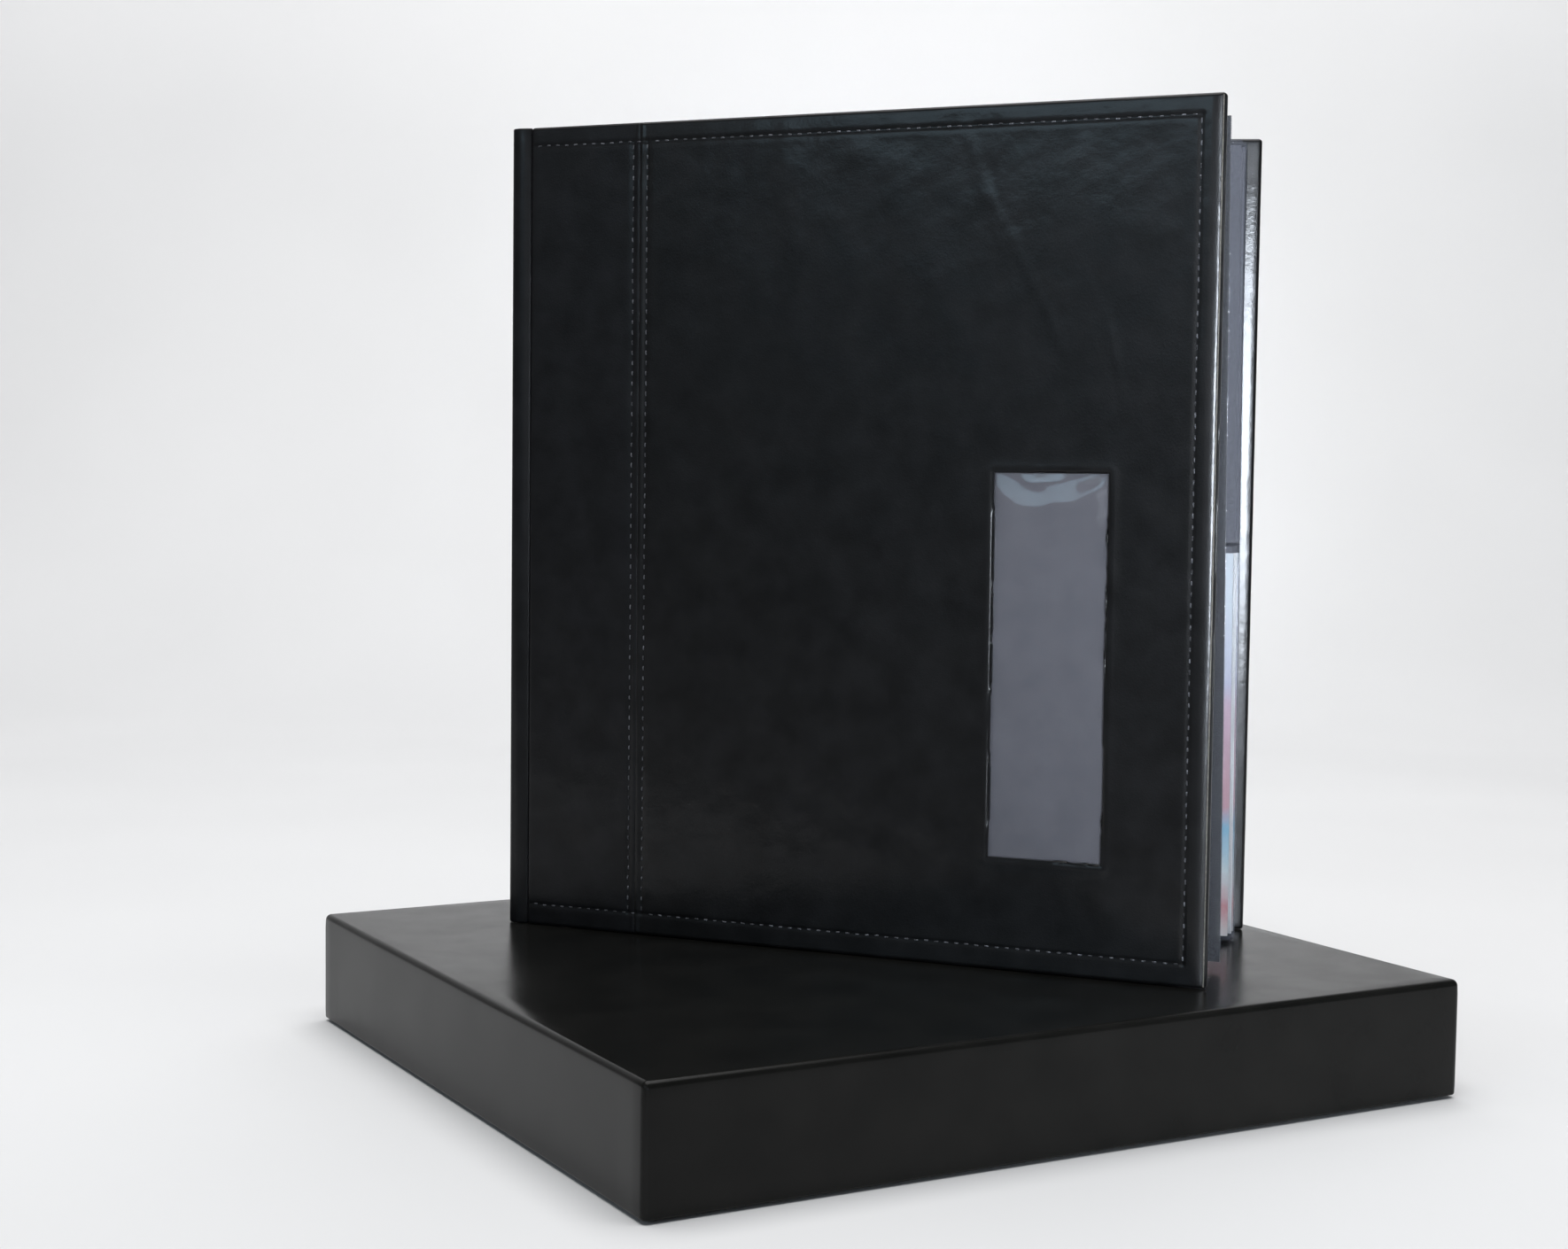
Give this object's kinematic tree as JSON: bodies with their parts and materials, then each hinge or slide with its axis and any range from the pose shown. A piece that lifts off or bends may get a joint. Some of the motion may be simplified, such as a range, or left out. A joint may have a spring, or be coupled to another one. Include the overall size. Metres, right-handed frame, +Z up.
{
  "type": "archival box",
  "caption": "Low board storage box with a lift-off lid and the leather-covered ring album that it stores, standing ajar on the lid.",
  "frame": {"origin": "middle of the box's underside", "axes": "+X along the box's long side, +Y along its short side, +Z up"},
  "size_m": [0.335, 0.305, 0.3647],
  "materials": {
    "box_covering": "matte black leatherette with a fine grain",
    "greyboard": "uncoated grey board",
    "box_lining": "matte black lining paper",
    "paper_tape": "gummed kraft tape",
    "album_leather": "semi-gloss black leather with a fine grain",
    "cover_lining": "black book cloth",
    "thread": "dark grey waxed thread",
    "clear_film": "clear polyester film",
    "label_card": "grey card, slightly cockled",
    "ring_metal": "nickel-plated steel",
    "rivet_metal": "nickel-plated steel, domed",
    "blade_metal": "spring steel",
    "leaf_strip": "black punched polypropylene",
    "pocket_card": "grey acid-free card",
    "photo_print": "glossy photographic paper",
    "flyleaf_sheet": "dark grey embossed sheet"
  },
  "bodies": {
    "tray": {"tray_base_board": "greyboard", "tray_base_covering": "box_covering", "tray_corner_stays": "paper_tape", "tray_covering": "box_covering", "tray_lining": "box_lining", "tray_wall_back": "greyboard", "tray_wall_front": "greyboard", "tray_wall_left": "greyboard", "tray_wall_right": "greyboard"},
    "lid": {"lid_corner_stays": "paper_tape", "lid_covering": "box_covering", "lid_lining": "box_lining", "lid_top_board": "greyboard", "lid_wall_back": "greyboard", "lid_wall_front": "greyboard", "lid_wall_left": "greyboard", "lid_wall_right": "greyboard"},
    "album_spine": {"spine_board": "greyboard", "spine_leather": "album_leather", "spine_lining": "cover_lining", "front_joint_leather": "album_leather", "back_joint_leather": "album_leather"},
    "front_cover": {"front_window_board": "greyboard", "front_backing_board": "greyboard", "front_panel_leather": "album_leather", "front_strip_leather": "album_leather", "front_lining": "cover_lining", "front_stitching": "thread", "window_film": "clear_film", "label_card": "label_card"},
    "back_cover": {"back_board": "greyboard", "back_panel_leather": "album_leather", "back_strip_leather": "album_leather", "back_lining": "cover_lining", "back_stitching": "thread", "ring_plate": "ring_metal", "ring_rivets": "rivet_metal", "ring_posts": "ring_metal", "binding_strips": "leaf_strip"},
    "ring_halves": {"ring_arches": "ring_metal", "ring_blade": "blade_metal"},
    "leaf_1": {"leaf_1_sleeve": "clear_film", "leaf_1_cards": "pocket_card", "leaf_1_prints": "photo_print"},
    "leaf_2": {"leaf_2_sleeve": "clear_film", "leaf_2_cards": "pocket_card", "leaf_2_prints": "photo_print"},
    "leaf_3": {"leaf_3_sleeve": "clear_film", "leaf_3_cards": "pocket_card", "leaf_3_prints": "photo_print"},
    "leaf_4": {"leaf_4_sleeve": "clear_film", "leaf_4_cards": "pocket_card", "leaf_4_prints": "photo_print"},
    "leaf_5": {"leaf_5_sleeve": "clear_film", "leaf_5_cards": "pocket_card", "leaf_5_prints": "photo_print"},
    "flyleaf": {"flyleaf_sheet": "flyleaf_sheet", "flyleaf_sleeve": "clear_film"}
  },
  "joints": [
    {"name": "lid_lift", "type": "slide", "parent": "tray", "child": "lid", "axis": [0, 0, 1], "range_m": [0, 0.15]},
    {"name": "album_lift", "type": "slide", "parent": "lid", "child": "album_spine", "axis": [0, 0, 1], "range_m": [0, 0.1]},
    {"name": "front_cover_open", "type": "hinge", "parent": "album_spine", "child": "front_cover", "pos_m": [-0.10173, 0.09807, 0.0447], "axis": [0, 0, -1], "range_deg": [0, 135]},
    {"name": "back_cover_open", "type": "hinge", "parent": "album_spine", "child": "back_cover", "pos_m": [-0.07641, 0.11764, 0.0447], "axis": [0, 0, 1], "range_deg": [-18.6, 116.4]},
    {"name": "rings_open", "type": "hinge", "parent": "back_cover", "child": "ring_halves", "pos_m": [-0.06763, 0.10649, 0.0447], "axis": [0, 0, -1], "range_deg": [0, 15]},
    {"name": "leaf_1_turn", "type": "hinge", "parent": "back_cover", "child": "leaf_1", "pos_m": [-0.04807, 0.0884, 0.0447], "axis": [0, 0, -1], "range_deg": [-0.52, 3.15]},
    {"name": "leaf_2_turn", "type": "hinge", "parent": "back_cover", "child": "leaf_2", "pos_m": [-0.04913, 0.08682, 0.0447], "axis": [0, 0, -1], "range_deg": [-1.22, 7.53]},
    {"name": "leaf_3_turn", "type": "hinge", "parent": "back_cover", "child": "leaf_3", "pos_m": [-0.05018, 0.08524, 0.0447], "axis": [0, 0, -1], "range_deg": [-1.92, 11.91]},
    {"name": "leaf_4_turn", "type": "hinge", "parent": "back_cover", "child": "leaf_4", "pos_m": [-0.05124, 0.08366, 0.0447], "axis": [0, 0, -1], "range_deg": [-2.72, 16.92]},
    {"name": "leaf_5_turn", "type": "hinge", "parent": "back_cover", "child": "leaf_5", "pos_m": [-0.05229, 0.08208, 0.0447], "axis": [0, 0, -1], "range_deg": [-3.62, 22.55]},
    {"name": "flyleaf_turn", "type": "hinge", "parent": "back_cover", "child": "flyleaf", "pos_m": [-0.05318, 0.08075, 0.0447], "axis": [0, 0, -1], "range_deg": [-16.02, 100.15]}
  ],
  "couplings": [
    {"joint": "leaf_1_turn", "follows": "back_cover_open", "ratio": 0.02688},
    {"joint": "leaf_2_turn", "follows": "back_cover_open", "ratio": 0.06452},
    {"joint": "leaf_3_turn", "follows": "back_cover_open", "ratio": 0.10215},
    {"joint": "leaf_4_turn", "follows": "back_cover_open", "ratio": 0.14516},
    {"joint": "leaf_5_turn", "follows": "back_cover_open", "ratio": 0.19355},
    {"joint": "flyleaf_turn", "follows": "back_cover_open", "ratio": 0.86022}
  ]
}
